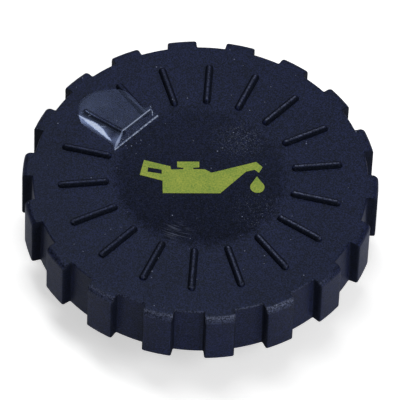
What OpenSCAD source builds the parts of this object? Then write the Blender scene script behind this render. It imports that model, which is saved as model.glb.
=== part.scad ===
// Oil filler cap: a moulded grip cap with a bayonet neck, a seal ring, a printed oil can
// and a tab of clear film stuck over two of its ribs.
// The foot of the neck stands on Z = 0 and the axis of the cap is Z.

/* [Cap shell] */
// Outer diameter of the skirt wall at its foot, between the lugs
skirt_d = 76; // [72:0.5:90]
// Height of the skirt, from its foot to the top face
skirt_h = 14; // [12:0.5:20]
// Thickness of the skirt wall
wall_t = 2.2; // [1.6:0.1:3]
// Draft of the skirt wall, in degrees
wall_draft = 2.3; // [0.5:0.1:3]
// Thickness of the top plate
plate_t = 2.6; // [2:0.1:3.5]
// Radius of the top edge between the lugs
rim_round = 0.4; // [0.2:0.05:0.8]
// Radius of the corner between the plate and the wall, inside
inner_round = 1; // [0.5:0.1:2]

/* [Grip lugs] */
// Number of lugs round the skirt
lug_count = 18; // [12:1:20]
// Width of a lug
lug_w = 6.6; // [5:0.1:8]
// How far a lug stands out from the foot of the wall
lug_reach = 2; // [1.5:0.1:3]
// Draft of the face of a lug, in degrees
lug_draft = 1.1; // [0.5:0.1:2]
// Radius of the shoulder at the top of a lug
lug_round = 1.4; // [0.8:0.1:1.8]
// Radius of the upright corners of a lug
lug_corner = 0.45; // [0.2:0.05:0.8]
// Wall left round the core of a lug, at its sides
lug_side_t = 1.7; // [1.2:0.1:2]

/* [Top ribs] */
// Width of a rib
rib_w = 1.8; // [1:0.1:2.4]
// Height of a rib above the top face
rib_h = 0.9; // [0.5:0.05:1.2]
// Distance from the outer ends of the ribs to the rim
rib_rim_gap = 5.5; // [3:0.1:8]
// Distance from the centre dish to the inner ends of the ribs
rib_dish_gap = 0.85; // [0.5:0.05:3]

/* [Centre dish] */
// Diameter of the flat floor of the dish
dish_d = 36.8; // [30:0.2:40]
// Depth of the dish
dish_depth = 0.1; // [0.1:0.05:0.5]
// Width of the soft slope round the dish
dish_slope = 1.2; // [0.5:0.1:2]

/* [Neck] */
// Outer diameter of the neck
neck_d = 38; // [34:0.5:42]
// Wall of the neck at its foot
neck_t = 2.2; // [1.6:0.1:3]
// How far the neck reaches below the foot of the skirt
neck_reach = 8; // [5:0.5:15]
// Draft of the hollow of the neck, in degrees
neck_draft = 0.8; // [0.5:0.1:2]
// Height of the lead-in taper at the foot of the neck
lead_in = 1; // [0.5:0.1:1.5]
// How much smaller the neck is above its pilot, as a radius
neck_relief = 0.2; // [0.1:0.05:0.4]
// Distance from the pilot up to the foot of the ears
pilot_gap = 1; // [0.5:0.1:2]

/* [Bayonet] */
// Number of bayonet ears
ear_count = 3; // [2:1:4]
// Length of an ear, round the neck
ear_l = 12; // [8:0.5:14]
// How far an ear stands out from the neck
ear_reach = 2.7; // [2:0.1:3]
// Thickness of an ear at its high end
ear_t = 3; // [2.5:0.1:4]
// Slope of the ramp on an ear, in degrees
ear_ramp = 6; // [3:0.5:8]
// Thickness of the neck flange that is held between the seal and an ear
flange_t = 4; // [3:0.1:5]
// Width of the stop at the end of an ear
stop_w = 2; // [1.5:0.1:3]
// Height of the stop above the ear
stop_h = 1.8; // [1:0.1:3]

/* [Seal] */
// Thickness of the seal ring
seal_t = 3; // [2:0.1:4]
// Radial width of the seal ring
seal_w = 6; // [4.5:0.1:8]
// Radius of the edges of the seal ring
seal_round = 0.5; // [0.2:0.1:0.8]
// Clearance between the seal ring and the neck
seal_gap = 0.05; // [0.02:0.01:0.1]

/* [Printed oil can] */
// Length of the symbol, from its handle to its nose
can_l = 27.4; // [20:0.2:30]
// Turn of the symbol on the top face, in degrees
can_turn = 4.5; // [0:0.5:30]
// Thickness of the print
print_t = 0.06; // [0.03:0.01:0.1]

/* [Clear film] */
// Width of the film tab
film_w = 13.2; // [11:0.2:14]
// Length from the fold at the ribs to the centre of the round end
film_l = 6.6; // [5:0.2:7]
// Thickness of the film
film_t = 0.12; // [0.1:0.01:0.2]
// Clearance between the film and what it lies on
film_gap = 0.02; // [0.01:0.01:0.05]
// Sideways place of the film at the fold, from midway between its two ribs
film_shift = 1.2; // [0.5:0.1:1.5]
// Lean of the film from the line midway between its two ribs, in degrees
film_lean = 4.8; // [3:0.2:6]
// Length of the slope from the cut edge up to the fold
film_cut_ramp = 2.4; // [2:0.1:3]
// Length of the slope at the long side that lies down on the face
film_side_ramp = 2.8; // [2:0.1:3]
// Length of the slope at the round end
film_end_ramp = 1.3; // [1:0.1:1.8]

/* [Hidden] */
$fn = 96;
slack = 0.5;

// heights
foot_z = neck_reach;
top_z = foot_z + skirt_h;
plate_z = top_z - plate_t;
dish_z = top_z - dish_depth;
seal_z = plate_z - seal_t;
ear_top_z = seal_z - flange_t;
ear_foot_z = ear_top_z - ear_t;
pilot_z = ear_foot_z - pilot_gap;

// radii
foot_r = skirt_d / 2;
rim_r = foot_r - skirt_h * tan(wall_draft);
lug_foot_r = foot_r + lug_reach;
lug_top_r = lug_foot_r - skirt_h * tan(lug_draft);
neck_r = neck_d / 2;
seat_r = neck_r - neck_relief;
ear_r = neck_r + ear_reach;
dish_r = dish_d / 2;
rib_end_r = rib_w / 2;
rib_in = dish_r + dish_slope + rib_dish_gap + rib_end_r;
rib_out = rim_r - rib_rim_gap - rib_end_r;

lug_pitch = 360 / lug_count;
first_rib = 90;

// Points of an arc, from angle a0 to angle a1
function arc(centre, r, a0, a1, steps = 6) =
    [for (i = [0:steps])
        let (a = a0 + (a1 - a0) * i / steps)
        centre + r * [cos(a), sin(a)]];

// Section of the plate and skirt, from the axis round the outside and back inside
module shell_section() {
    polygon(concat(
        [[0, dish_z]],
        arc([dish_r, dish_z + dish_curve_r], dish_curve_r, -90, dish_curve_a - 90, 4),
        arc([dish_r + dish_slope, top_z - dish_curve_r], dish_curve_r, dish_curve_a + 90, 90, 4),
        arc([rim_r - rim_round, top_z - rim_round], rim_round, 90, wall_draft),
        [[foot_r, foot_z], [foot_r - wall_t, foot_z]],
        arc([inner_rim_r - inner_round, plate_z - inner_round], inner_round, wall_draft, 90),
        [[0, plate_z]]
    ));
}
inner_rim_r = foot_r - wall_t - (skirt_h - plate_t) * tan(wall_draft);
// The slope of the dish is two equal arcs, one hollow and one crowned
dish_curve_a = 2 * atan(dish_depth / dish_slope);
dish_curve_r = dish_slope / 2 / sin(dish_curve_a);

// Section of the ring that the lugs are cut from, with their drafted face and round shoulder
module lug_section() {
    polygon(concat(
        [[lug_root_r, foot_z], [lug_foot_r, foot_z]],
        arc([lug_top_r - lug_round, top_z - lug_round], lug_round, lug_draft, 90),
        [[lug_root_r, top_z]]
    ));
}
lug_root_r = rim_r - rim_round - wall_t / 4;

// Plan of one lug or of its core: a bar along +X with its outer corners rounded
module bar_plan(width, inner, outer, corner) {
    translate([inner, -width / 2]) square([outer - corner - inner, width]);
    translate([outer - 2 * corner, corner - width / 2])
        square([2 * corner, width - 2 * corner]);
    for (side = [-1, 1])
        translate([outer - corner, side * (width / 2 - corner)]) circle(corner);
}

module round_the_cap(count) {
    for (i = [0:count - 1]) rotate(i * 360 / count) children();
}

module lug() {
    intersection() {
        rotate_extrude() lug_section();
        translate([0, 0, foot_z - slack])
            linear_extrude(skirt_h + 2 * slack)
                bar_plan(lug_w, lug_root_r - slack, lug_foot_r, lug_corner);
    }
}

// Hollow that keeps the wall of a lug even, open at the foot of the skirt
module lug_core() {
    core_w = lug_w - 2 * lug_side_t;
    translate([0, 0, foot_z - slack])
        linear_extrude(skirt_h - plate_t + slack)
            bar_plan(core_w, inner_rim_r - 2 * inner_round, lug_top_r - wall_t, core_w / 4);
}

// One rib: a half-round bar with round ends, its crest along +X
module rib() {
    crest_z = top_z + rib_h - rib_end_r;
    translate([rib_in, 0, crest_z]) rotate([0, 90, 0]) cylinder(r = rib_end_r, h = rib_out - rib_in);
    for (r = [rib_in, rib_out]) translate([r, 0, crest_z]) sphere(rib_end_r);
}

// Hollow neck: a pilot that guides the cap into the filler, then a relief up to the plate
module neck() {
    hollow_foot_r = neck_r - neck_t;
    hollow_top_r = hollow_foot_r - plate_z * tan(neck_draft);
    rotate_extrude()
        polygon([
            [hollow_foot_r, 0], [neck_r - lead_in / 2, 0], [neck_r, lead_in],
            [neck_r, pilot_z], [seat_r, pilot_z + neck_relief],
            [seat_r, plate_z + plate_t / 2], [hollow_top_r, plate_z + plate_t / 2],
            [hollow_top_r, plate_z]
        ]);
}

// Bayonet ears: ledges cut from a ring by their side outline, each with a ramp that leads
// the flange in and a stop at its high end
module ears() {
    stop_top_z = ear_top_z + stop_h;
    root_r = neck_r - neck_t / 2;
    ramp_l = ear_l * 2 / 3;
    intersection() {
        rotate_extrude()
            polygon([
                [root_r, ear_foot_z], [ear_r, ear_foot_z + ear_t / 3],
                [ear_r, stop_top_z], [root_r, stop_top_z]
            ]);
        rotate(first_rib) round_the_cap(ear_count)
            translate([neck_r / 2, 0, 0]) rotate([90, 0, 90])
                linear_extrude(ear_r) ear_side(ear_foot_z - slack, stop_top_z + slack, ramp_l);
    }
}

module ear_side(low_z, high_z, ramp_l) {
    start = -ear_l / 2;
    end = ear_l / 2;
    polygon([
        [start, low_z], [start, ear_top_z - ramp_l * tan(ear_ramp)],
        [start + ramp_l, ear_top_z], [end - stop_w, ear_top_z],
        [end - stop_w, high_z], [end, high_z], [end, low_z]
    ]);
}

module cap_body() {
    color([0.14, 0.15, 0.22]) {
        difference() {
            union() {
                rotate_extrude() shell_section();
                round_the_cap(lug_count) lug();
            }
            round_the_cap(lug_count) lug_core();
        }
        rotate(first_rib) round_the_cap(lug_count) rib();
        neck();
        ears();
    }
}

module seal_ring() {
    inner = seat_r + seal_gap;
    outer = inner + seal_w;
    r = seal_round;
    color([0.05, 0.05, 0.05])
        rotate_extrude()
            polygon(concat(
                arc([outer - r, plate_z - r], r, 90, 0, 4),
                arc([outer - r, seal_z + r], r, 0, -90, 4),
                arc([inner + r, seal_z + r], r, 270, 180, 4),
                arc([inner + r, plate_z - r], r, 180, 90, 4)
            ));
}

// Outline of the can with its handle, filler and spout, in hundredths of its length
can_outline = [
    [-46, 15.5], [-24.5, 9], [-24, 5.7], [-14, 6.2], [-14, 7.7], [-19, 8.2], [-19, 14],
    [-1, 14], [-1, 8.2], [-6, 7.7], [-6, 6.2], [3.5, 6.2], [9, 2.6], [45.5, 14], [50.5, 8.6],
    [47.5, 2.9], [44, 6], [37, 4], [15.5, -18.4], [-31, -18.4], [-31, -5.7], [-49.5, 0.2]
];
handle_hole = [[-42.7, 8], [-31.7, 5.6], [-31.5, 1.2], [-43.2, 3.4]];
drop_centre = [45.8, -12];
drop_r = 5.8;
drop_tip = 11;

module can_plan() {
    difference() {
        polygon(can_outline);
        polygon(handle_hole);
    }
    translate(drop_centre) {
        tangent_a = asin(drop_r / drop_tip);
        circle(drop_r);
        polygon([
            [0, drop_tip],
            drop_r * [-cos(tangent_a), sin(tangent_a)],
            drop_r * [cos(tangent_a), sin(tangent_a)]
        ]);
    }
}

module oil_can_print() {
    color([0.56, 0.65, 0.22])
        translate([0, 0, dish_z])
            linear_extrude(print_t)
                rotate(can_turn) scale(can_l / 100) can_plan();
}

// The film lies over the third and fourth ribs. Its own frame starts at the fold, between
// the inner ends of those two ribs: s runs outwards, midway between the ribs, and t towards
// the fourth rib.
film_a = first_rib + 2.5 * lug_pitch;
film_fold_r = rib_in * cos(lug_pitch / 2) - rib_end_r / 4;
film_lift = rib_h + film_gap;
film_end_r = film_w / 2;
film_rows = [3, 9, 6];
film_columns = [12, 4];
row_count = film_rows[0] + film_rows[1] + film_rows[2];
column_count = film_columns[0] + film_columns[1];

function film_mid(s) = film_shift + s * tan(film_lean);
function film_half(s) = s < film_l ? film_end_r : sqrt(film_end_r * film_end_r - pow(s - film_l, 2));

// Places of the rows: up the slope at the cut edge, along the flat, then by angle round the end
function film_s(i) =
    let (flat = i - film_rows[0], turn = flat - film_rows[1])
    flat <= 0 ? film_cut_ramp * flat / film_rows[0]
        : turn <= 0 ? film_l * flat / film_rows[1]
        : film_l + film_end_r * sin(80 * turn / film_rows[2]);

// Places of the columns, from -1 at the edge on the third rib to 1 at the edge on the face
function film_across(j) =
    let (slope = film_side_ramp / film_end_r, k = j - film_columns[0])
    k <= 0 ? 1 - slope + (2 - slope) * k / film_columns[0] : 1 - slope + slope * k / film_columns[1];

// Height over the face as a share of the lift, from the distance to the edges. The long edge
// on the third rib stays up on the rib, also where it starts to turn round the end.
function film_rise(s, t) =
    let (
        side = (film_mid(s) + film_end_r - t) / film_side_ramp,
        cut = (s + film_cut_ramp) / film_cut_ramp,
        d = [s - film_l, t - film_mid(s)],
        lean = d[1] / max(norm(d), 0.01),
        end_ramp = film_end_ramp + (film_side_ramp - film_end_ramp) * pow(max(0, lean), 6),
        end = (film_end_r - norm(d)) / end_ramp,
        held = (-lean - 0.85) / 0.1
    )
    s <= film_l ? min(1, side, cut) : max(0, min(1, max(end, held)));

function film_point(i, j, above) =
    let (
        s = film_s(i),
        t = film_mid(s) + film_half(s) * film_across(j)
    )
    [film_fold_r + s, t, top_z + film_gap + film_lift * film_rise(s, t) + above];

module clear_film() {
    row = column_count + 1;
    count = row * (row_count + 1);
    points = [for (above = [0, film_t], i = [0:row_count], j = [0:column_count])
        film_point(i, j, above)];
    cells = [for (i = [0:row_count - 1], j = [0:column_count - 1]) i * row + j];
    under = [for (c = cells, f = [[c, c + row, c + row + 1], [c, c + row + 1, c + 1]]) f];
    over = [for (f = under) [for (k = [2, 1, 0]) f[k] + count]];
    rim = concat(
        [for (j = [0:column_count]) j],
        [for (i = [1:row_count]) i * row + column_count],
        [for (j = [column_count - 1:-1:0]) row_count * row + j],
        [for (i = [row_count - 1:-1:1]) i * row]
    );
    edge = [for (k = [0:len(rim) - 1])
        let (a = rim[k], b = rim[(k + 1) % len(rim)])
        for (f = [[a, b, b + count], [a, b + count, a + count]]) f];
    color([0.8, 0.85, 0.95, 0.3])
        rotate(film_a) polyhedron(points, concat(under, over, edge));
}

cap_body();
seal_ring();
oil_can_print();
clear_film();
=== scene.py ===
"""The looks of a moulded oil filler cap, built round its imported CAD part.

The file is a lesson in cells. Every length in it is in metres, in the frame of the CAD part: the
cap stands on the foot of its neck at Z = 0, and its axis is Z.
"""

# %% [markdown]
# The real object is a grip cap of blue-black plastic with a bayonet neck, a rubber seal ring, a
# printed oil can and a tab of clear film stuck over two of its ribs. The CAD part holds its form
# and its sizes.

# %% Load the frame
import math

import bmesh
import bpy
import numpy as np
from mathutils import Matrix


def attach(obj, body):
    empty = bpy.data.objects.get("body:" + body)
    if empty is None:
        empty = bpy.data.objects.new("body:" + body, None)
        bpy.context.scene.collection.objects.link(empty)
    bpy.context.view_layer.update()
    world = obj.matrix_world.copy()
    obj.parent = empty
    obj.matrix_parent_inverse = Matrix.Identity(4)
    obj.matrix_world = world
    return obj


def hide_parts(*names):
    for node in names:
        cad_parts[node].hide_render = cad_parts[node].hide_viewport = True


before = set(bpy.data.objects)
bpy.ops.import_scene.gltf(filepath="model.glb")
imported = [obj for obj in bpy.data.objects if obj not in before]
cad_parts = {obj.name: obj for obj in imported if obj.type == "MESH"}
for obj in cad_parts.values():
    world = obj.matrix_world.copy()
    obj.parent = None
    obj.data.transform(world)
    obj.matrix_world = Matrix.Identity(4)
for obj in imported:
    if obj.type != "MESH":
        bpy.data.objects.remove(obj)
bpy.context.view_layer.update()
MM = 0.001
print("nodes:", sorted(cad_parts))

# %% [markdown]
# The photograph was taken with a long lens from above the front edge, which keeps the far lugs
# nearly as large as the near ones. Its place could be found by eye. Here it was worked out from
# the ends of the ribs, which lie on two circles, and from the outline of the skirt, because a
# wrong angle would spoil every later comparison. The picture is also rolled by two degrees.

# %% Camera
CAMERA_DISTANCE = 731.8 * MM
CAMERA_LENS = 297.4
CAMERA_SENSOR = 36.0
CAMERA_ELEVATION = 52.43
CAMERA_AZIMUTH = 1.82
CAMERA_ROLL = 2.37
CAMERA_TARGET = np.array([0.3, -7.0, 22.0]) * MM


def looking_from(target, azimuth, elevation, distance, roll=0.0):
    """Matrix of a camera or lamp that looks at a target from an azimuth and an elevation.

    Back is (sin a cos e, -cos a cos e, sin e), right is level, and up is square to both. The roll
    turns right towards up. The columns of the matrix are right, up, back and the place.
    """
    a, e, turn = math.radians(azimuth), math.radians(elevation), math.radians(roll)
    back = np.array([math.sin(a) * math.cos(e), -math.cos(a) * math.cos(e), math.sin(e)])
    level = np.array([math.cos(a), math.sin(a), 0.0])
    right = math.cos(turn) * level + math.sin(turn) * np.cross(back, level)
    matrix = np.eye(4)
    matrix[:3] = np.column_stack([right, np.cross(back, right), back, target + back * distance])
    return matrix.T.tolist()


def link(name, data):
    """Makes an object from its data and adds it to the scene."""
    made = bpy.data.objects.new(name, data)
    bpy.context.scene.collection.objects.link(made)
    return made


camera = link("camera", bpy.data.cameras.new("camera"))
camera.data.sensor_width = CAMERA_SENSOR
camera.data.lens = CAMERA_LENS
camera.data.clip_start = CAMERA_DISTANCE / 10
camera.data.clip_end = CAMERA_DISTANCE * 10
camera.matrix_world = looking_from(
    CAMERA_TARGET, CAMERA_AZIMUTH, CAMERA_ELEVATION, CAMERA_DISTANCE, CAMERA_ROLL
)
bpy.context.scene.camera = camera
print("camera at", [round(x / MM) for x in camera.location], "mm")

# %% [markdown]
# The cap is one moulding: a plate with half-round ribs and a shallow dish, a skirt with 18 hollow
# grip lugs, and the neck below. It could be cut together with booleans, but those leave ragged
# faces along every fillet. It is worked out here as one closed grid instead. Each row of the grid
# goes once round the cap, and the rows follow one another from the centre of the top face over the
# rim, down the skirt, up inside it, round the neck and to the centre of the underside.

# %% Sizes of the moulding
FOOT_Z = 8.0 * MM
PLATE_Z = 19.4 * MM
DISH_Z = 21.9 * MM
TOP_Z = 22.0 * MM

FOOT_R = 38.0 * MM
WALL = 2.2 * MM
WALL_SLOPE = math.tan(math.radians(2.3))
RIM_ROUND = 0.4 * MM
FOOT_ROUND = 0.25 * MM
INNER_ROUND = 1.0 * MM

LUG_COUNT = 18
HALF_PITCH = math.pi / LUG_COUNT
LUG_HALF = 3.3 * MM
LUG_FOOT_R = 40.0 * MM
LUG_SLOPE = math.tan(math.radians(1.1))
LUG_SHOULDER = 1.4 * MM
LUG_CORNER = 0.45 * MM
LUG_EDGE = 0.2 * MM
LUG_ROOT = 0.3 * MM
CORE_HALF = 1.6 * MM
CORE_CORNER = 0.8 * MM
CORE_EDGE = 0.2 * MM
CORE_END = LUG_FOOT_R - (TOP_Z - FOOT_Z) * LUG_SLOPE - WALL
print("the cores of the lugs reach", round(CORE_END / MM, 2), "mm from the axis")

RIB_R = 0.9 * MM
RIB_IN = 21.35 * MM
RIB_OUT = 31.037 * MM
DISH_R = 17.5 * MM
DISH_SLOPE = 2.1 * MM

# %% [markdown]
# The cap repeats every 20 degrees and each repeat is the mirror of itself, so only half a lug and
# half the gap beside it are worked out. The nodes of a row are dealt out over the face, the
# corner, the flank and the root of the lug, and then over the gap. Up on the plate the nodes of
# the gap become the nodes across half a rib, because each rib lies in line with a gap.

# %% Nodes of half a lug
FACE, CORNER, FLANK, ROOT, GAP = 4, 4, 3, 3, 6
RIB_FLANK = FACE + CORNER + FLANK + ROOT
NODES = RIB_FLANK + GAP + 1
node = np.arange(NODES)
even_angles = HALF_PITCH * node / (NODES - 1)
print(NODES, "nodes in half a lug,", 2 * (NODES - 1) * LUG_COUNT, "columns round the cap")


def arc(centre, radius, start, end, steps):
    """Points of an arc in plan: the centre plus the radius times (cos, sin) of the angle."""
    angle = np.linspace(start, end, steps + 1)
    return np.column_stack([centre[0] + radius * np.cos(angle), centre[1] + radius * np.sin(angle)])


def grip_outline(face, corner_from, corner_centre, corner, half_width, wall_r, root):
    """Plan of half a lug or core and half a gap: face, corner arc, flank, root arc and wall arc.

    The root arc touches both the flank and the wall circle, so its centre lies root past the
    flank and root outside the wall: x = sqrt((wall + root)^2 - (half width + root)^2).
    """
    root_y = half_width + root
    root_x = math.sqrt((wall_r + root) ** 2 - root_y**2)
    turn = math.atan2(root_y, root_x)
    parts = [
        face,
        arc(corner_centre, corner, corner_from, math.pi / 2, CORNER)[1:],
        np.linspace((corner_centre[0], half_width), (root_x, half_width), FLANK + 1)[1:],
        arc((root_x, root_y), root, -math.pi / 2, turn - math.pi, ROOT)[1:],
        arc((0, 0), wall_r, turn, HALF_PITCH, GAP)[1:],
    ]
    return np.concatenate(parts)


def ring(radius, angles, z):
    """A row of nodes at a radius, at given angles from the middle of the lug."""
    radius, z = np.broadcast_to(radius, angles.shape), np.broadcast_to(z, angles.shape)
    return np.column_stack([radius * np.cos(angles), radius * np.sin(angles), z])


def level(outline, z):
    """A row that follows a plan outline at one height."""
    return np.column_stack([outline, np.full(NODES, z)])


def angles_of(row):
    """Angle of each node of a row, from the middle of the lug."""
    return np.arctan2(row[:, 1], row[:, 0])


def evened(angles, reach=2):
    """Each angle averaged with its neighbours, mirrored at both ends, so that no cell gets thin."""
    before = -angles[reach:0:-1]
    after = 2 * HALF_PITCH - angles[-2 : -2 - reach : -1]
    share = np.full(2 * reach + 1, 1 / (2 * reach + 1))
    return np.convolve(np.concatenate([before, angles, after]), share, "valid")


def drawn_in(past, radius):
    """How far a quarter-round edge has drawn in: r - sqrt(r^2 - past^2)."""
    return radius - math.sqrt(radius**2 - min(max(past, 0.0), radius) ** 2)


# %% [markdown]
# A half-round rib with ball ends could be laid on the plate as a separate bar. Here it grows out
# of the grid: the nodes across it turn from its foot to its crest, and at its ends the rows climb
# over the ball like an opening fan. Beyond the foot of the rib the same rows lie flat on the
# plate, so the crease along the foot is crisp, as on the moulding.

# %% Ribs on the plate
CLIMBS = np.linspace(0, math.pi / 2, 6)
rib_turn = math.pi / 2 * np.clip((NODES - 1 - node) / GAP, 0, 1)
beside = np.clip((RIB_FLANK - node) / 5, 0, 1)
beside = beside**2 * (3 - 2 * beside)


def rib_row(along, end, climb):
    """A row across half a rib, at a distance along it, with its ball end on one side.

    On the ball a node lies at end * r cos(turn) cos(climb) along the rib, r sin(turn) across it
    and r cos(turn) sin(climb) up. The rest of the row lies flat at the same distance.
    """
    out = along + end * RIB_R * np.cos(rib_turn) * math.cos(climb)
    across = RIB_R * np.sin(rib_turn)
    up = RIB_R * np.cos(rib_turn) * math.sin(climb)
    c, s = math.cos(HALF_PITCH), math.sin(HALF_PITCH)
    rib = np.column_stack([out * c + across * s, out * s - across * c, TOP_Z + up])
    foot_angle = HALF_PITCH - math.atan2(RIB_R, along)
    radius = math.hypot(along, RIB_R) + beside * end * RIB_R * math.cos(climb)
    plate = ring(radius, foot_angle * node / RIB_FLANK, TOP_Z)
    return np.where((node >= RIB_FLANK)[:, None], rib, plate)


def rib_rows():
    """Rows that climb the inner ball of a rib, run along it and climb down the outer ball."""
    inner = [rib_row(RIB_IN, -1, climb) for climb in CLIMBS]
    middle = [rib_row(along, 1, CLIMBS[-1]) for along in np.linspace(RIB_IN, RIB_OUT, 4)[1:-1]]
    outer = [rib_row(RIB_OUT, 1, climb) for climb in CLIMBS[::-1]]
    return inner + middle + outer


print("a rib rises to", round(max(row[-1, 2] for row in rib_rows()) / MM, 2), "mm")

# %% [markdown]
# The dish in the middle is only a tenth of a millimetre deep. It shows because its far slope
# catches the light. Two equal arcs, one hollow and one crowned, give that slope without a crease.

# %% Dish
DISH_FLOOR_ROWS = (6, 12, 16.6)
DISH_OUTER_ROW = 20.0


def dish_rows():
    """The flat floor, then a slope of two equal arcs, hollow and crowned, up to the plate."""
    angles = angles_of(rib_row(RIB_IN, -1, CLIMBS[-1]))
    turn = 2 * math.atan((TOP_Z - DISH_Z) / DISH_SLOPE)
    bend = DISH_SLOPE / 2 / math.sin(turn)
    floor = [ring(r * MM, angles, DISH_Z) for r in DISH_FLOOR_ROWS]
    hollow = [
        ring(DISH_R + bend * math.sin(a), angles, DISH_Z + bend * (1 - math.cos(a)))
        for a in np.linspace(0, turn, 4)
    ]
    crowned = [
        ring(DISH_R + DISH_SLOPE - bend * math.sin(a), angles, TOP_Z - bend * (1 - math.cos(a)))
        for a in np.linspace(turn, 0, 4)[1:]
    ]
    return floor + hollow + crowned + [ring(DISH_OUTER_ROW * MM, angles, TOP_Z)]


print("the dish takes", len(dish_rows()), "rows")

# %% [markdown]
# The skirt tapers a little, as it must to leave its mould, and each lug ends in a round shoulder
# that turns into the flat plate. At every height the plan outline is the same kind of curve with
# other radii, so one function gives the row at any height. The edges that a cutter leaves sharp
# in the CAD part get a small round here, since those are what catch the light.

# %% Skirt, outside
RIM_ROWS = ((32.4, 0.2), (34.6, 0.6), (36.3, 1.0))
SHOULDER_CLIMBS = np.radians([90, 82, 74, 66, 58, 49, 40, 30, 20, 10, 0])
WALL_HEIGHTS = np.array([20.3, 16.2, 14.6, 14.2, 13.8, 13.4, 13.0, 12.6, 11.0, 8.6]) * MM
FOOT_CLIMBS = np.radians([0, 30, 60, 90])


def outer_row(z):
    """Row round the outside of the skirt at a height, with the shoulder, rim and foot drawn in."""
    foot = drawn_in(FOOT_Z + FOOT_ROUND - z, FOOT_ROUND)
    shoulder = drawn_in(z - TOP_Z + LUG_SHOULDER, LUG_SHOULDER)
    lug_r = LUG_FOOT_R - (min(z, TOP_Z - LUG_SHOULDER) - FOOT_Z) * LUG_SLOPE - shoulder - foot
    wall_r = FOOT_R - (z - FOOT_Z) * WALL_SLOPE - drawn_in(z - TOP_Z + RIM_ROUND, RIM_ROUND) - foot
    half = LUG_HALF - drawn_in(z - TOP_Z + LUG_EDGE, LUG_EDGE) - foot
    corner_y = half - LUG_CORNER
    corner_x = math.sqrt((lug_r - LUG_CORNER) ** 2 - corner_y**2)
    turn = math.atan2(corner_y, corner_x)
    face = arc((0, 0), lug_r, 0, turn, FACE)
    outline = grip_outline(face, turn, (corner_x, corner_y), LUG_CORNER, half, wall_r, LUG_ROOT)
    return level(outline, z)


def rim_rows():
    """Flat rows that turn the even spacing at the ribs into the spacing of the lugs."""
    rib_angles = angles_of(rib_row(RIB_OUT, 1, CLIMBS[-1]))
    lug_angles = evened(angles_of(outer_row(TOP_Z)))
    return [
        ring(r * MM, (1 - share) * rib_angles + share * lug_angles, TOP_Z)
        for r, share in RIM_ROWS
    ]


def skirt_rows():
    """Rows from the shoulders to the foot, closest where the shoulder, sink mark and foot bend."""
    shoulder = TOP_Z - LUG_SHOULDER * (1 - np.sin(SHOULDER_CLIMBS))
    foot = FOOT_Z + FOOT_ROUND * (1 - np.sin(FOOT_CLIMBS))
    return [outer_row(z) for z in np.concatenate([shoulder, WALL_HEIGHTS, foot])]


print("the outside of the skirt takes", len(skirt_rows()), "rows")

# %% [markdown]
# Inside, the skirt keeps an even wall, because thick lumps of plastic sink as they cool. So each
# lug is hollow, and the inside is the same kind of outline with smaller sizes. A fillet leads it
# into the underside of the plate. None of it shows in the photograph.

# %% Skirt, inside
def inner_row(z, wall_r, widen=0.0):
    """Row round the inside of the skirt, which runs into the hollow core of each lug."""
    half = CORE_HALF + widen
    end_x = CORE_END + widen
    corner = (end_x - CORE_CORNER, half - CORE_CORNER)
    face = np.linspace((end_x, 0), (end_x, corner[1]), FACE + 1)
    return level(grip_outline(face, 0.0, corner, CORE_CORNER, half, wall_r + widen, CORE_EDGE), z)


FILLET = np.linspace(0, math.pi / 2, 6)
UNDER_ROWS = ((33.6, 1.0), (31.0, 0.5), (25.5, 0.0))


def inner_rows():
    """Rows round the foot edge, up the inside of the wall, over the fillet and in to the neck."""
    def wall_r(z):
        return FOOT_R - WALL - (z - FOOT_Z) * WALL_SLOPE

    edge = [
        inner_row(z, wall_r(z), CORE_EDGE * (1 - math.cos(a)))
        for a in np.radians([90, 60, 30, 0])
        for z in [FOOT_Z + CORE_EDGE * (1 - math.sin(a))]
    ]
    wall = [inner_row(z, wall_r(z)) for z in np.array([12, 18.1]) * MM]
    drop, inset = INNER_ROUND * (1 - np.sin(FILLET)), INNER_ROUND * (1 - np.cos(FILLET))
    fillet = [inner_row(PLATE_Z - down, wall_r(PLATE_Z) - by) for down, by in zip(drop, inset)]
    core_angles = evened(angles_of(fillet[-1]))
    plate = [
        ring(r * MM, share * core_angles + (1 - share) * even_angles, PLATE_Z)
        for r, share in UNDER_ROWS
    ]
    return edge + wall + fillet + plate


print("the inside of the skirt takes", len(inner_rows()), "rows")

# %% [markdown]
# Nothing of the neck shows in the photograph. It has what such necks have: a pilot that guides the
# cap into the filler, and a relief above it for the seal ring. It is a plain turned shape, so its
# rows are rings.

# %% Neck
NECK_PROFILE = np.array(
    [
        (18.8, 19.4), (18.8, 8.6), (19.0, 8.4), (19.0, 4.7), (19.0, 1.0), (18.55, 0.1),
        (18.4, 0.0), (16.9, 0.0), (16.8, 0.1), (16.66, 10.0), (16.53, 19.4), (8.0, 19.4),
    ]
) * MM


def neck_rows():
    """One ring for each corner of the profile of the neck."""
    return [ring(r, even_angles, z) for r, z in NECK_PROFILE]


print("the neck stands on a ring", round(2 * NECK_PROFILE[:, 0].max() / MM, 1), "mm across")

# %% [markdown]
# Three ears lock the cap in its filler. Each has a ramp, which pulls the seal down as the cap
# turns, and a stop. They could grow out of the grid too, but they are plain bars that meet the
# neck at a sharp corner, so they are separate grids whose roots lie inside the wall of the neck.

# %% Bayonet ears
EAR_COUNT = 3
EAR_ROOT_R = 17.9 * MM
EAR_R = 21.7 * MM
EAR_FOOT_Z = 9.4 * MM
EAR_RISE = 1.0 * MM
EAR_EDGE = 0.3 * MM
EAR_STATIONS = np.array([(-6, 11.56), (-2, 11.98), (2, 12.4), (4, 12.4), (4, 14.2), (6, 14.2)]) * MM


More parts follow.
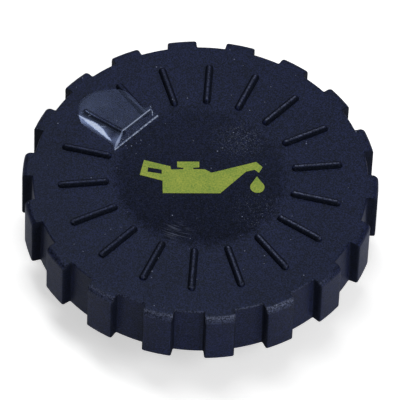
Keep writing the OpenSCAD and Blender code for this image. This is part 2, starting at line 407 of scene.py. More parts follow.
def ear(middle):
    """Grid of one ear: stations along it, and round its section from the root and back.

    Each section runs out along the sloped foot, up the face and in along the top. Its place is
    x = sqrt(r^2 - y^2) at the distance y along the ear, turned to the middle of the ear.
    """
    turn = np.linspace(0, math.pi / 2, 4)
    lower, upper = EAR_R - EAR_EDGE * (1 - np.sin(turn)), EAR_R - EAR_EDGE * (1 - np.cos(turn))
    sides = np.concatenate([[EAR_ROOT_R], lower, upper, [EAR_ROOT_R]])
    foot = EAR_FOOT_Z + EAR_RISE * (sides[:5] - EAR_ROOT_R) / (EAR_R - EAR_ROOT_R)
    foot[1:] += EAR_EDGE * (1 - np.cos(turn))
    y, top = EAR_STATIONS.T[..., None]
    crown = top + np.concatenate([-EAR_EDGE * (1 - np.sin(turn)), [0]])
    z = np.concatenate([np.broadcast_to(foot, (len(y), 5)), crown], axis=1)
    x = np.sqrt(sides**2 - y**2)
    c, s = math.cos(middle), math.sin(middle)
    y = np.broadcast_to(y, x.shape)
    return np.stack([c * x - s * y, s * x + c * y, z], axis=-1)


print("an ear rises from", EAR_FOOT_Z / MM, "to", EAR_STATIONS[:, 1].max() / MM, "mm")

# %% [markdown]
# The half lug is now mirrored, turned round the axis 18 times and laid side by side, which gives
# the whole grid. The photograph shows one small sink mark on the wall of the front gap, and that
# is pressed into the grid afterwards, since it belongs to one gap only. Where the fan of rows
# meets the foot of a rib, several nodes share one place, so doubles are merged at the end.

# %% Join the moulding
SINK_ANGLE = math.radians(-90)
SINK_Z = 13.6 * MM
SINK_SIZE = 0.55 * MM
SINK_DEPTH = 0.22 * MM
MERGE = 1e-8


def all_round(rows):
    """Mirrors rows of half a lug and turns them round the cap: rows by columns by (x, y, z)."""
    sector = np.concatenate([rows[:, :0:-1] * [1, -1, 1], rows[:, :-1]], axis=1)[:, None]
    turn = (2 * HALF_PITCH * np.arange(LUG_COUNT))[:, None]
    x, y, z = np.moveaxis(sector, -1, 0)
    placed = [x * np.cos(turn) - y * np.sin(turn), x * np.sin(turn) + y * np.cos(turn), z + 0 * turn]
    return np.stack(placed, axis=-1).reshape(len(rows), -1, 3)


def press_sink_mark(grid):
    """Moves the outer wall inwards by depth exp(-distance^2 / size^2) round one place."""
    x, y, z = np.moveaxis(grid, -1, 0)
    radius = np.hypot(x, y)
    along = radius * (np.arctan2(y, x) - SINK_ANGLE)
    near = np.exp(-(along**2 + (z - SINK_Z) ** 2) / SINK_SIZE**2)
    depth = np.where(radius > FOOT_R - WALL / 2, SINK_DEPTH * near, 0)
    grid[..., :2] *= (1 - depth / np.maximum(radius, MM))[..., None]


def grid_faces(rows, columns):
    """Quads of a grid whose last column meets its first, as four node numbers each."""
    first = np.arange(rows - 1)[:, None] * columns + np.arange(columns)
    second = np.arange(rows - 1)[:, None] * columns + np.roll(np.arange(columns), -1)
    return np.stack([first, first + columns, second + columns, second], axis=-1).reshape(-1, 4)


def fan_faces(row, pole):
    """Triangles between a row of node numbers, closed on itself, and a pole."""
    return np.column_stack([np.full(len(row), pole), row, np.roll(row, -1)])


def moulding_mesh():
    """Points and faces of the whole moulding: the grid, its two poles and the three ears."""
    outside = dish_rows() + rib_rows() + rim_rows() + skirt_rows()
    grid = all_round(np.array(outside + inner_rows() + neck_rows()))
    press_sink_mark(grid)
    count, columns = grid.shape[:2]
    poles = np.array([(0, 0, DISH_Z), (0, 0, PLATE_Z)])
    points = [grid.reshape(-1, 3), poles]
    top_row = np.arange(columns)
    end_row = top_row[::-1] + (count - 1) * columns
    faces = grid_faces(count, columns).tolist()
    faces += fan_faces(top_row, count * columns).tolist()
    faces += fan_faces(end_row, count * columns + 1).tolist()
    used = count * columns + 2
    for middle in math.pi / 2 + 2 * math.pi / EAR_COUNT * np.arange(EAR_COUNT):
        bar = ear(middle)
        stations, loop = bar.shape[:2]
        points.append(bar.reshape(-1, 3))
        faces += (grid_faces(stations, loop) + used).tolist()
        faces.append(list(range(used, used + loop)))
        faces.append(list(range(used + stations * loop - 1, used + (stations - 1) * loop - 1, -1)))
        used += stations * loop
    return np.concatenate(points), faces


def make_piece(name, points, faces, sharp_angle):
    """A mesh object from points and faces, its doubles merged and its sharp edges kept sharp."""
    mesh = bpy.data.meshes.new(name)
    mesh.from_pydata(points, [], faces)
    work = bmesh.new()
    work.from_mesh(mesh)
    bmesh.ops.remove_doubles(work, verts=work.verts, dist=MERGE)
    work.to_mesh(mesh)
    volume = work.calc_volume(signed=True)
    open_edges = sum(not edge.is_manifold for edge in work.edges)
    work.free()
    mesh.shade_smooth()
    mesh.set_sharp_from_angle(angle=sharp_angle)
    print(name, len(mesh.polygons), "faces,", round(volume / MM**3), "mm3,", open_edges, "open edges")
    return link(name, mesh)


moulding = make_piece("grip_cap_moulding", *moulding_mesh(), sharp_angle=math.radians(38))
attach(moulding, "root")
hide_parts("cap_body")

# %% [markdown]
# A tab of clear adhesive film is stuck over two of the ribs. It bridges them, folds down at their
# inner ends to a straight cut edge, and slopes to the face along one long side. A cloth solver
# could drape it, but the folds of stiff film are few and straight, so its height is written as a
# function of the place: s runs outwards from the fold and t runs across.

# %% Sizes of the film
FILM_COS, FILM_SIN = math.cos(math.radians(140)), math.sin(math.radians(140))
FILM_FOLD_R = 20.8 * MM
FILM_LENGTH = 6.6 * MM
FILM_END_R = 6.6 * MM
FILM_SHIFT = 1.2 * MM
FILM_LEAN = math.tan(math.radians(4.8))
FILM_CUT = 2.4 * MM
FILM_LIFT = 0.915 * MM
FILM_GAP = 0.02 * MM
FILM_THICK = 0.12 * MM
FILM_ROUND_TURN = 80
FILM_WAIST, WAIST_S, WAIST_REACH = 0.9 * MM, 1.8 * MM, 2.6 * MM
FILM_CURL, CURL_S = 1.0 * MM, 0.45 * MM
FILM_FLARE, FLARE_REACH = 0.9 * MM, 0.9 * MM
SIDE_POWER = 1.6
SIDE_CREST = 0.2 * MM
SWELL_REACH = 4.2 * MM
CREASE_ROUND, FLAT_ROUND, RIB_ROUND = 0.015, 0.012, 0.05 * MM
FILM_ROWS, FILM_COLUMNS = 132, 120


def soft_min(first, second, blend):
    """The smaller of two values, with a round corner: (a + b - sqrt((a - b)^2 + blend^2)) / 2."""
    return (first + second - np.sqrt((first - second) ** 2 + blend**2)) / 2


def bell(value, centre, width):
    """1 at the centre, falling to both sides: exp(-((value - centre) / width)^2)."""
    return np.exp(-(((value - centre) / width) ** 2))


def film_plan():
    """s and t of each point: s evenly over the flat, then by angle round the end.

    The edge on the right rib has a waist and a small curl at the fold, and the other long edge
    flares at the cut.
    """
    flat = np.linspace(-FILM_CUT, FILM_LENGTH, FILM_ROWS * 2 // 3)
    turn = np.radians(np.linspace(0, FILM_ROUND_TURN, FILM_ROWS - len(flat) + 1)[1:])
    s = np.concatenate([flat, FILM_LENGTH + FILM_END_R * np.sin(turn)])
    half = np.sqrt(FILM_END_R**2 - np.maximum(s - FILM_LENGTH, 0) ** 2)
    across = np.linspace(-1, 1, FILM_COLUMNS)
    middle = FILM_SHIFT + s * FILM_LEAN
    waist = FILM_WAIST * bell(s, WAIST_S, WAIST_REACH)
    curl = FILM_CURL * bell(s, CURL_S, np.where(s > CURL_S, 0.18, 0.7) * MM)
    flare = FILM_FLARE * bell(s, -FILM_CUT, FLARE_REACH)
    right, left = np.clip(-across, 0, 1) ** 2, np.clip(across, 0, 1) ** 2
    t = middle[:, None] + half[:, None] * across
    t = t + (waist - curl)[:, None] * right + flare[:, None] * left
    return np.broadcast_to(s[:, None], t.shape), t


def rib_height(s, t):
    """Height of the two ribs below a point: sqrt(r^2 - distance to the core line^2)."""
    height = np.zeros_like(t)
    for side in (-1, 1):
        c, d = math.cos(HALF_PITCH), side * math.sin(HALF_PITCH)
        along = (FILM_FOLD_R + s) * c + t * d
        across = t * c - (FILM_FOLD_R + s) * d
        past = along - np.clip(along, RIB_IN, RIB_OUT)
        height = np.maximum(height, np.sqrt(np.maximum(RIB_R**2 - past**2 - across**2, 0)))
    return height


def film_height(s, t):
    """Height over the face, as the lowest of three slopes that start at the edges of the film.

    The long slope falls from the rib to the face as the power 1.6 of the distance to the edge.
    The cut slope falls evenly from the fold. The round end swells like a blister, sqrt(x (2 - x)),
    with x the distance to its edge, and is held up where its right side meets the rib. Wherever a
    rib stands higher, the film lies on the rib. It never rises above its lift, which is just over
    the crests.
    """
    middle = FILM_SHIFT + s * FILM_LEAN
    edge = middle + FILM_END_R
    crest = (FILM_FOLD_R + s) * math.tan(HALF_PITCH) + SIDE_CREST
    long_side = np.clip((edge - t) / (edge - crest), 0, 3) ** SIDE_POWER
    depth = FILM_CUT - np.clip((t - 3 * MM) / (5 * MM), 0, 1) * 0.9 * MM
    cut_side = np.clip((s + depth) / (depth - 0.2 * MM), 0, 3)
    ds, dt = s - FILM_LENGTH, t - middle
    from_edge = FILM_END_R - np.hypot(np.maximum(ds, 0), dt)
    lean = dt / np.maximum(np.hypot(ds, dt), 0.01 * MM)
    swell = np.clip(from_edge / SWELL_REACH, 0, 1)
    held = np.clip((-lean - 0.75) / 0.25, 0, 1)
    round_end = np.maximum(np.sqrt(swell * (2 - swell)), held)
    round_end = np.where(ds > 0, round_end, 3)
    rise = soft_min(soft_min(long_side, round_end, CREASE_ROUND), cut_side, CREASE_ROUND)
    rise = soft_min(rise, 1.0 + 0 * rise, FLAT_ROUND)
    height, below = FILM_LIFT * np.clip(rise, 0, 1), rib_height(s, t)
    return np.minimum(height + below - soft_min(height, below, RIB_ROUND), FILM_LIFT)


s_grid, t_grid = film_plan()
rise_grid = film_height(s_grid, t_grid)
print("film rises to", round(float(rise_grid.max()) / MM, 3), "mm over the face")


def film_mesh():
    """Points and faces of the film: the under sheet, the upper sheet and the rim that joins them."""
    rows, columns = s_grid.shape
    x, y = FILM_FOLD_R + s_grid, t_grid
    along_x, along_y = x * FILM_COS - y * FILM_SIN, x * FILM_SIN + y * FILM_COS
    under = np.stack([along_x, along_y, TOP_Z + FILM_GAP + rise_grid], -1).reshape(-1, 3)
    over = under + [0, 0, FILM_THICK]
    number = np.arange(rows * columns).reshape(rows, columns)
    a, b, e, f = number[:-1, :-1], number[1:, :-1], number[1:, 1:], number[:-1, 1:]
    upper = np.stack([a, b, e, f], -1).reshape(-1, 4) + rows * columns
    lower = np.stack([a, f, e, b], -1).reshape(-1, 4)
    loop = np.concatenate([number[0, :], number[1:, -1], number[-1, -2::-1], number[-2:0:-1, 0]])
    after = np.roll(loop, -1)
    rim = np.stack([loop + rows * columns, after + rows * columns, after, loop], -1)
    return np.concatenate([under, over]), np.concatenate([upper, lower, rim])


film_points, film_faces = film_mesh()
film = make_piece("clear_film_tab", film_points, film_faces.tolist(), math.radians(60))
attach(film, "root")
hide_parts("clear_film")

# %% [markdown]
# The painted highlights along the folds and cut edge of the film, and its scratches, follow its
# own shape, not the axes of the cap. So the film carries its s and t as a UV map, in units of ten
# millimetres, and the shader can draw each of them where it lies.

# %% Places on the film
film_map = film.data.uv_layers.new(name="film_place")
loop_points = np.empty(len(film.data.loops), dtype=np.int32)
film.data.loops.foreach_get("vertex_index", loop_points)
places = np.empty(len(film.data.vertices) * 3)
film.data.vertices.foreach_get("co", places)
places = places.reshape(-1, 3)
film_s = places[:, 0] * FILM_COS + places[:, 1] * FILM_SIN - FILM_FOLD_R
film_t = -places[:, 0] * FILM_SIN + places[:, 1] * FILM_COS
film_uv = np.column_stack([film_s, film_t])[loop_points] / (10 * MM)
film_map.data.foreach_set("uv", film_uv.ravel())
print("s goes from", film_uv[:, 0].min().round(3), "to", film_uv[:, 0].max().round(3), "cm")

# %% [markdown]
# Shader maths is easier to read as formulas than as rows of nodes. A small class wraps one
# output socket, and the usual operators on it add Math nodes to the same material. Every other
# node comes from one method, which takes the node's kind, its settings and its inputs.

# %% Formulas for shaders
class Field:
    """A value that changes over a surface. Operators on it add Math nodes to its material."""

    def __init__(self, finish, socket):
        self.finish = finish
        self.socket = socket

    def math(self, operation, *others):
        return self.finish.math(operation, self, *others)

    def __add__(self, other):
        return self.math("ADD", other)

    def __radd__(self, other):
        return self.math("ADD", other)

    def __sub__(self, other):
        return self.math("SUBTRACT", other)

    def __rsub__(self, other):
        return self.finish.math("SUBTRACT", other, self)

    def __mul__(self, other):
        return self.math("MULTIPLY", other)

    def __rmul__(self, other):
        return self.math("MULTIPLY", other)

    def __truediv__(self, other):
        return self.math("DIVIDE", other)

    def __pow__(self, other):
        return self.math("POWER", other)


class Finish:
    """A material that is built node by node."""

    def __init__(self, name):
        self.material = bpy.data.materials.new(name)
        self.material.use_nodes = True
        self.tree = self.material.node_tree
        self.tree.nodes.clear()

    def node(self, kind, settings=None, inputs=None, output=0):
        """Adds a node, sets its settings and then its inputs, and returns one of its outputs."""
        made = self.tree.nodes.new(kind)
        for name, value in (settings or {}).items():
            setattr(made, name, value)
        for name, value in (inputs or {}).items():
            if isinstance(value, Field):
                self.tree.links.new(value.socket, made.inputs[name])
            else:
                made.inputs[name].default_value = value
        return Field(self, made.outputs[output])

    def math(self, operation, *values):
        return self.node("ShaderNodeMath", {"operation": operation}, dict(enumerate(values)))

    def place(self):
        """Object coordinates, which a finished piece shares with the CAD part."""
        return self.node("ShaderNodeTexCoord", output="Object")

    def axes(self):
        """The x, y and z of the place on the object."""
        split = self.node("ShaderNodeSeparateXYZ", inputs={0: self.place()})
        outputs = split.socket.node.outputs
        return [Field(self, outputs[name]) for name in "XYZ"]

    def vector(self, x, y, z):
        """A vector from three values."""
        return self.node("ShaderNodeCombineXYZ", inputs={0: x, 1: y, 2: z})

    def noise(self, place, detail, roughness, scale=1.0):
        """Noise from 0 to 1 over any place."""
        values = {"Vector": place, "Scale": scale, "Detail": detail, "Roughness": roughness}
        return self.node("ShaderNodeTexNoise", inputs=values)

    def grain(self, size, detail=2.0, roughness=0.5):
        """Noise from 0 to 1 whose blobs are about size across."""
        return self.noise(self.place(), detail, roughness, 1 / size)

    def cell(self, size):
        """Distance to the middle of the nearest cell, in cells. Its spread is random per cell."""
        made = self.node("ShaderNodeTexVoronoi", inputs={"Vector": self.place(), "Scale": 1 / size})
        colour = Field(self, made.socket.node.outputs["Color"])
        made.spread = self.node("ShaderNodeSeparateXYZ", inputs={0: colour})
        return made

    def outward(self):
        """1 on the outer side of a face and 0 on its back."""
        return self.math("SUBTRACT", 1.0, self.node("ShaderNodeNewGeometry", output="Backfacing"))

    def patch(self, x, y, centre_x, centre_y, radius):
        """A soft round patch: 1 at its centre and 0 at its radius."""
        distance = ((x - centre_x) ** 2 + (y - centre_y) ** 2) ** 0.5
        return self.step(distance, 0.0, radius, 1.0, 0.0)

    def from_line(self, x, y, start, end):
        """Distance to a line: |p - start - share (end - start)|, with the share held in 0 to 1."""
        dx, dy = end[0] - start[0], end[1] - start[1]
        px, py = x - start[0], y - start[1]
        share = (px * dx + py * dy) / (dx * dx + dy * dy)
        share = self.node("ShaderNodeClamp", inputs={0: share})
        return ((px - share * dx) ** 2 + (py - share * dy) ** 2) ** 0.5

    def step(self, value, low, high, to_low=0.0, to_high=1.0):
        """Goes from to_low to to_high as value goes from low to high, with soft ends."""
        return self.node(
            "ShaderNodeMapRange",
            {"interpolation_type": "SMOOTHSTEP"},
            {"Value": value, "From Min": low, "From Max": high, "To Min": to_low, "To Max": to_high},
        )

    def blend(self, share, first, second):
        """Mixes two colours by a share."""
        return self.node(
            "ShaderNodeMix", {"data_type": "RGBA"}, {0: share, 6: first, 7: second}, output=2
        )

    def surface(self, **inputs):
        """Ends the material in one Principled shader. Underscores in the names stand for spaces."""
        spaced = {name.replace("_", " "): value for name, value in inputs.items()}
        shader = self.node("ShaderNodeBsdfPrincipled", inputs=spaced)
        ending = self.tree.nodes.new("ShaderNodeOutputMaterial")
        self.tree.links.new(shader.socket, ending.inputs["Surface"])
        return self.material


def srgb(red, green, blue):
    """The linear colour of an sRGB colour given from 0 to 255, with full alpha."""
    share = np.array([red, green, blue]) / 255
    linear = np.where(share <= 0.04045, share / 12.92, ((share + 0.055) / 1.055) ** 2.4)
    return (*linear.tolist(), 1.0)


def dress(piece, material):
    """Puts one material on a whole piece."""
    piece.data.materials.clear()
    piece.data.materials.append(material)
    print(piece.name, "wears", material.name, "of", len(material.node_tree.nodes), "nodes")


print("middle grey is", round(srgb(128, 128, 128)[0], 3), "in linear light")

# %% [markdown]
# The plastic is a blue-black mix with a fine spark-eroded grain, satin and not glossy. An image
# of it could be wrapped round the cap, but it would stretch on the lugs. The grain is noise in
# object coordinates instead, once as colour and once as relief. On top of it lies painted shade:
# a darker dish, most towards the front, dark flanks of lugs and ribs, dark rib feet, and a plate a
# little darker to the front and left. Then come painted highlights on the rib crests, rib tips,
# lug shoulders and rim, and the real marks of handling: arcs of scuffs in front, and dust.

# %% Moulded plastic
def dust_specks(finish, size, share, largest):
    """Specks of dust: a small disc in some cells of a Voronoi pattern, each with its own size."""
    cell = finish.cell(size)
    radius = finish.step(cell.spread, 1 - share, 1.0, 0.0, largest)
    return finish.step(cell - radius, -0.05, 0.02, 1.0, 0.0)


def scuff_arcs(finish, radius, angle, where):
    """Short arcs round the axis: noise that is long in the angle and thin in the radius."""
    along = finish.vector(radius / (0.3 * MM), angle * 4.0, 0.0)
    strokes = finish.noise(along, 1.0, 0.5)
    return finish.step(strokes, 0.50, 0.72) * where


def sideways(finish, x, y, radius):
    """How far a face looks round the axis: |ny x - nx y| / radius, with n its normal."""
    normal = finish.node("ShaderNodeNewGeometry", output="Normal")
    split = finish.node("ShaderNodeSeparateXYZ", inputs={0: normal}).socket.node.outputs
    cross = Field(finish, split["Y"]) * x - Field(finish, split["X"]) * y
    return finish.math("ABSOLUTE", cross / radius)


PLASTIC = (srgb(4, 6, 18), srgb(30, 36, 70))
PAINTED_SHADE = (srgb(0, 1, 6), srgb(17, 21, 42))
RIB_FOOT_SHADE = srgb(1, 2, 6)
HIGHLIGHT_SCUFF_DUST_PALE = srgb(150, 158, 184)
FILM_MIDDLE = (-21.1 * MM, 17.7 * MM)


def moulded_plastic():
    """Blue-black grain: tones by place, then painted shade, then painted highlights, scuffs and dust.
    """
    finish = Finish("moulded_plastic")
    x, y, z = finish.axes()
    radius = (x * x + y * y) ** 0.5
    angle = finish.math("ARCTAN2", y, x)
    fine = finish.grain(0.34 * MM, 2.0, 0.8)
    soft = finish.grain(1.7 * MM, 3.0, 0.6)
    broad = finish.grain(11 * MM, 2.0, 0.5)
    top = finish.step(z, 21.5 * MM, 21.8 * MM)
    ragged = radius + (soft - 0.5) * (5.0 * MM) + (fine - 0.5) * (3.0 * MM)
    # Masks of painted shade: the dish, stronger towards the front, and the flanks of lugs and ribs.
    dish = finish.step(ragged, 17.2 * MM, 21.0 * MM, 1.0, 0.0) * top
    front = finish.step(y, -16 * MM, 12 * MM, 1.0, 0.6)
    flank = finish.step(sideways(finish, x, y, radius), 0.2, 0.6)

    tone = (fine - 0.5) * 5.0 + (soft - 0.5) * 0.9 + (broad - 0.5) * 0.5 + 0.4
    colour = finish.blend(tone, *PLASTIC)
    dark = finish.blend(tone, *PAINTED_SHADE)
    # Painted shade: the dish, the flanks and the plate towards the front and left go to the dark
    # tone.
    shade = finish.step(y, -28 * MM, -8 * MM, 0.2, 0.0) + finish.step(x, -35 * MM, -24 * MM, 0.3, 0.0)
    colour = finish.blend(dish * front * 0.85 + flank + shade * top, colour, dark)
    # Painted shade at the feet of the ribs.
    rib_foot = flank * finish.step(z, 22.0 * MM, 22.1 * MM)
    colour = finish.blend(rib_foot * 0.65, colour, RIB_FOOT_SHADE)

    # Painted highlights on the rib crests, brighter on the right, and on inner ends and front tips.
    crest = finish.step(z, 22.86 * MM, 22.9 * MM) * finish.step(x, -5 * MM, 20 * MM, 1.1, 3.4)
    from_film = ((x - FILM_MIDDLE[0]) ** 2 + (y - FILM_MIDDLE[1]) ** 2) ** 0.5
    crest = crest * finish.step(from_film, 6.5 * MM, 8.5 * MM)
    inner_end = finish.step(radius, 21.15 * MM, 21.9 * MM, 0.9, 0.25)
    crest = finish.math("MINIMUM", crest * inner_end, 1.1)
    tip = finish.step(z, 22.45 * MM, 22.7 * MM) * finish.step(radius, 31.1 * MM, 31.5 * MM)
    tip = tip * finish.step(y, -12 * MM, -2 * MM, 0.35, 0.0)
    # Painted highlights on the lug shoulders and the rim, strongest in front and on the right.
    shoulder = finish.step(radius, 38.4 * MM, 39.2 * MM) * finish.step(z, 20.2 * MM, 21.2 * MM)
    near = finish.step(y, -36 * MM, -22 * MM, 1.0, 0.0) * finish.step(x, -20 * MM, 15 * MM, 0.6, 1.0)
    rim = finish.step(radius, 37.1 * MM, 37.25 * MM) * finish.step(z, 21.5 * MM, 21.65 * MM)
    rim = rim * finish.step(z, 21.92 * MM, 21.98 * MM, 1.0, 0.0)
    painted_highlights = crest + tip + (shoulder + rim) * near * 0.5
    painted_highlights = painted_highlights * finish.step(fine, 0.4, 0.6, 0.1, 1.0)
    in_front = finish.patch(x, y, -4.5 * MM, -16.4 * MM, 4.6 * MM) * 0.8
    arcs = scuff_arcs(finish, radius, angle, in_front * top)
    upper_right = finish.patch(x, y, 8.5 * MM, 11 * MM, 8 * MM)
    lower_right = finish.patch(x, y, 13.5 * MM, -9 * MM, 8 * MM)
    by_film = finish.patch(x, y, -15.5 * MM, 8.2 * MM, 5 * MM)
    dusty = dust_specks(finish, 1.1 * MM, 0.16, 0.13) + dust_specks(finish, 0.4 * MM, 0.5, 0.28) * (
        upper_right * 0.5 + lower_right * 0.5 + by_film * 2
    )
    powder = finish.step(finish.grain(0.2 * MM, 1.0, 0.6), 0.56, 0.74)
    dusty = dusty + powder * (0.07 + upper_right * 0.36 + lower_right * 0.15)
    dusty = dusty * finish.step(z, 21.5 * MM, 21.9 * MM, 0.25, 1.0)
    # The pale tone carries the painted highlights together with real scuffs and dust.
    pale = painted_highlights * 0.34 + arcs * 0.28 + dusty * 0.75
    colour = finish.blend(finish.math("MINIMUM", pale, 0.8), colour, HIGHLIGHT_SCUFF_DUST_PALE)

    relief = fine + finish.grain(0.16 * MM, 1.0, 0.5) * 0.5 + soft * 0.4
    bump = finish.node(
        "ShaderNodeBump",
        inputs={"Strength": 1.0, "Distance": 0.06 * MM, "Height": relief * (1 - 0.4 * dish)},
    )
    roughness = finish.step(soft, 0.2, 0.8, 0.42, 0.50) + 0.3 * dish * front + 0.25 * flank
    return finish.surface(
        Base_Color=colour,
        Roughness=roughness + 0.2 * rib_foot,
        Specular_IOR_Level=0.2,
        Specular_Tint=(0.57, 0.7, 1.0, 1.0),
        Normal=bump,
    )


dress(moulding, moulded_plastic())

# %% [markdown]
# The symbol is pad-printed in yellow-green ink. The ink is thin, so the grain below it shows as a
# fine green mottle. The drop is the same ink.

# %% Print
def print_ink():
    """Yellow-green ink with a fine mottle and a few slow clouds."""
    finish = Finish("print_ink")
    mottle = finish.grain(0.4 * MM, 2.0, 0.65)
    cloud = finish.grain(3.5 * MM, 2.0, 0.5)
    tone = (mottle - 0.5) * 2.2 + (cloud - 0.5) * 0.9 + 0.5
    colour = finish.blend(tone, srgb(106, 139, 50), srgb(166, 177, 68))
    bump = finish.node(
        "ShaderNodeBump", inputs={"Strength": 0.3, "Distance": 0.03 * MM, "Height": mottle}
    )
    return finish.surface(Base_Color=colour, Roughness=0.55, Specular_IOR_Level=0.25, Normal=bump)


dress(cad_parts["oil_can_print"], print_ink())

# %% [markdown]
# The seal ring is plain black rubber, duller and more neutral than the plastic, with a bloom of
# slightly paler patches.

# %% Rubber
def seal_rubber():
    """Dull black rubber with paler patches."""
    finish = Finish("seal_rubber")
    bloom = finish.grain(2.5 * MM, 3.0, 0.6)
    colour = finish.blend(finish.step(bloom, 0.3, 0.75), srgb(17, 17, 18), srgb(30, 30, 31))
    return finish.surface(Base_Color=colour, Roughness=0.72, Specular_IOR_Level=0.3)


dress(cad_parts["seal_ring"], seal_rubber())

# %% [markdown]
# Clear film shows by what it mirrors, and by its creases and its cut edge. A glass shader would
# bend light in a sheet that is too thin for it. So the film is a mirror with a very low alpha,
# which follows the Fresnel law. Its fold, hip, cut edge, curl and rib edge carry painted
# highlights as white lines, its scratches are real white marks, and its long slope has a painted
# highlight band on top of the mirrored lamp. These marks are denser and dull. Along the rib crest
# and beside the end of the band the mirror is turned down, which paints shade there. All places
# in this cell are in millimetres.

# %% Film
FOLD = ((-0.25, -4.9), (-0.2, 3.6))
HIP = ((0.05, 3.4), (-1.95, 8.1))
CUT_EDGE = ((-2.30, -5.3), (-2.32, 8.6))
RIB_EDGE = ((-0.1, -3.9), (6.0, -4.1))
CREST = ((0.0, 3.95), (10.0, 5.75))
CURL = (((0.45, -5.8), (-0.45, -5.3)), ((-0.45, -5.3), (-1.5, -4.5)))
SCRATCHES = (((8.3, 2.5), (7.6, 0.4)), ((4.5, 6.1), (3.5, 5.5)), ((8.4, 6.0), (8.2, 5.7)))
LINE_STRENGTHS = (1.6, 1.4, 0.16, 0.5, 0.7)


def clear_film():
    """Nearly clear where nothing marks it, with painted highlights as white lines and a band, and
    scratches.
    """
    finish = Finish("clear_film")
    uv = finish.node("ShaderNodeUVMap", {"uv_map": "film_place"})
    split = finish.node("ShaderNodeSeparateXYZ", inputs={0: uv}).socket.node.outputs
    s, t = Field(finish, split["X"]) * 10, Field(finish, split["Y"]) * 10
    wander = finish.grain(0.5 * MM, 2.0, 0.6)
    broken = finish.step(wander, 0.35, 0.6, 0.25, 1.0)
    haze = finish.grain(2.2 * MM, 3.0, 0.6)

    def mark(ends, width, soft):
        """White along a line from one (s, t) to another, in millimetres, fading past its width."""
        return finish.step(finish.from_line(s, t, *ends), width, width + soft, 1.0, 0.0)

    def hump(value, centre, width):
        """1 at the centre, falling to both sides: exp(-((value - centre) / width)^2)."""
        off = (value - centre) / width
        return finish.math("EXPONENT", off * off * -1)

    # Painted highlights: the hip wedge, and below the fold, cut edge, rib edge and curl.
    hip_width = hump(t, 6.8, 1.5) * 0.2
    hip = finish.step(finish.from_line(s, t, *HIP) - hip_width, 0.0, 0.2, 1.0, 0.0)
    # Painted highlight band on the long slope, with a ragged upper edge, over the mirrored lamp.
    band_middle = 7.35 - 0.6 * hump(s, 5.0, 3.6)
    off_band = finish.math("ABSOLUTE", t - band_middle + (wander - 0.5) * 0.5)
    painted_band = finish.step(off_band - 0.6 * hump(s, 5.0, 3.6), -0.25, 0.15, 1.0, 0.0)
    painted_band = painted_band * finish.step(wander, 0.3, 0.6, 0.7, 1.0) * finish.step(s, -0.4, 0.8)
    highlights_and_scratches = mark(FOLD, 0.04, 0.18) * 0.9 + hip * 0.5 + mark(CUT_EDGE, 0.08, 0.24) * broken
    highlights_and_scratches = highlights_and_scratches + mark(RIB_EDGE, 0.02, 0.2) * 0.12 + painted_band
    # The curl is a painted highlight; the scratches are real.
    for ends, strength in zip(CURL + SCRATCHES, LINE_STRENGTHS):
        highlights_and_scratches = highlights_and_scratches + mark(ends, 0.02, 0.16) * broken * strength
    highlights_and_scratches = finish.math("MINIMUM", highlights_and_scratches, 1.0)

    mirror = finish.node("ShaderNodeFresnel", inputs={"IOR": 1.5})
    # Painted shade: the mirror is turned down along the rib crest and beside the end of the band.
    painted_dull = mark(CREST, 0.35, 0.35) + hump(s, 0.9, 1.4) * hump(t, 6.0, 1.4)
    mirror = mirror * (1 - 0.88 * finish.math("MINIMUM", painted_dull, 1.0))
    milky = finish.step(haze, 0.3, 0.8, 0.0, 0.012) + finish.step(s, 5.0, 13.0, 0.0, 0.06)
    alpha = (mirror + milky + highlights_and_scratches * 0.42 + painted_band * 0.44) * finish.outward()
    return finish.surface(
        Base_Color=finish.blend(highlights_and_scratches, srgb(172, 193, 245), srgb(212, 226, 252)),
        Metallic=0.95 - 0.9 * highlights_and_scratches,
        Roughness=finish.step(haze, 0.3, 0.7, 0.28, 0.31) + 0.3 * highlights_and_scratches,
        Alpha=alpha,
    )


dress(film, clear_film())

# %% [markdown]
# The cap stands on a plain pale floor that is big enough to run out of the picture. The floor is
# plain white to the camera. It has no underside, so that the cap can also be seen from below.

# %% Floor
FLOOR_SIZE = 1.6


def pale_floor():
    """White to the camera, a little blue to the light it throws back, and open from below."""
    finish = Finish("pale_floor")
    seen = finish.node("ShaderNodeLightPath", output="Is Camera Ray")
    return finish.surface(
        Base_Color=finish.blend(seen, srgb(228, 232, 244), srgb(252, 252, 252)),
        Roughness=0.9,
        Specular_IOR_Level=0.1,
        Emission_Color=finish.blend(seen, (0, 0, 0, 1), (1, 1, 1, 1)),
        Emission_Strength=0.5,
        Alpha=finish.outward(),
    )


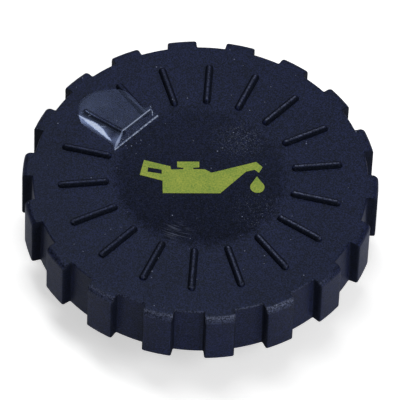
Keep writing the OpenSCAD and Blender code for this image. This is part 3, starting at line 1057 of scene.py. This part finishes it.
half = FLOOR_SIZE / 2
floor_mesh = bpy.data.meshes.new("floor")
corners = [(-half, -half, 0), (half, -half, 0), (half, half, 0), (-half, half, 0)]
floor_mesh.from_pydata(corners, [], [(0, 1, 2, 3)])
floor = link("floor", floor_mesh)
dress(floor, pale_floor())

# %% [markdown]
# The light is soft. In the photograph the sides of the ribs that face the camera are nearly
# black, so almost nothing lights the cap from the front: a broad weak box behind it gives the
# sheen of the plate, a smaller one nearly overhead gives the lit slope of the film and the
# shoulders of the lugs, and low boxes on the right reach the skirt there.

# %% Lights
LIT_POINT = np.array([0, 0, 15]) * MM


def softbox(name, azimuth, elevation, distance, width, height, power, roll=0.0):
    """A rectangular soft lamp that looks at the cap from an azimuth and an elevation in degrees."""
    lamp = bpy.data.lights.new(name, "AREA")
    lamp.shape = "RECTANGLE"
    lamp.size = width
    lamp.size_y = height
    lamp.energy = power
    holder = link(name, lamp)
    holder.matrix_world = looking_from(LIT_POINT, azimuth, elevation, distance, roll)
    return holder


softbox("back_box", 178, 48, distance=1.0, width=1.8, height=1.1, power=2.2)
softbox("key_box", -155, 73, distance=0.8, width=0.48, height=0.2, power=2.7, roll=-59.8)
softbox("side_box", 62, 40, distance=0.9, width=0.4, height=0.4, power=1.9)
softbox("right_box", 32, 10, distance=0.8, width=0.35, height=0.2, power=1.8)


def studio_world():
    """A dim even room, which the camera sees as white."""
    world = bpy.data.worlds.new("studio")
    world.use_nodes = True
    tree = world.node_tree
    tree.nodes.clear()
    rays = tree.nodes.new("ShaderNodeLightPath")
    mixer = tree.nodes.new("ShaderNodeMixShader")
    tree.links.new(rays.outputs["Is Camera Ray"], mixer.inputs[0])
    for place, strength in ((1, 0.12), (2, 1.0)):
        backdrop = tree.nodes.new("ShaderNodeBackground")
        backdrop.inputs["Color"].default_value = (1, 1, 1, 1)
        backdrop.inputs["Strength"].default_value = strength
        tree.links.new(backdrop.outputs[0], mixer.inputs[place])
    ending = tree.nodes.new("ShaderNodeOutputWorld")
    tree.links.new(mixer.outputs[0], ending.inputs[0])
    return world


bpy.context.scene.world = studio_world()
bpy.context.scene.view_settings.view_transform = "Standard"
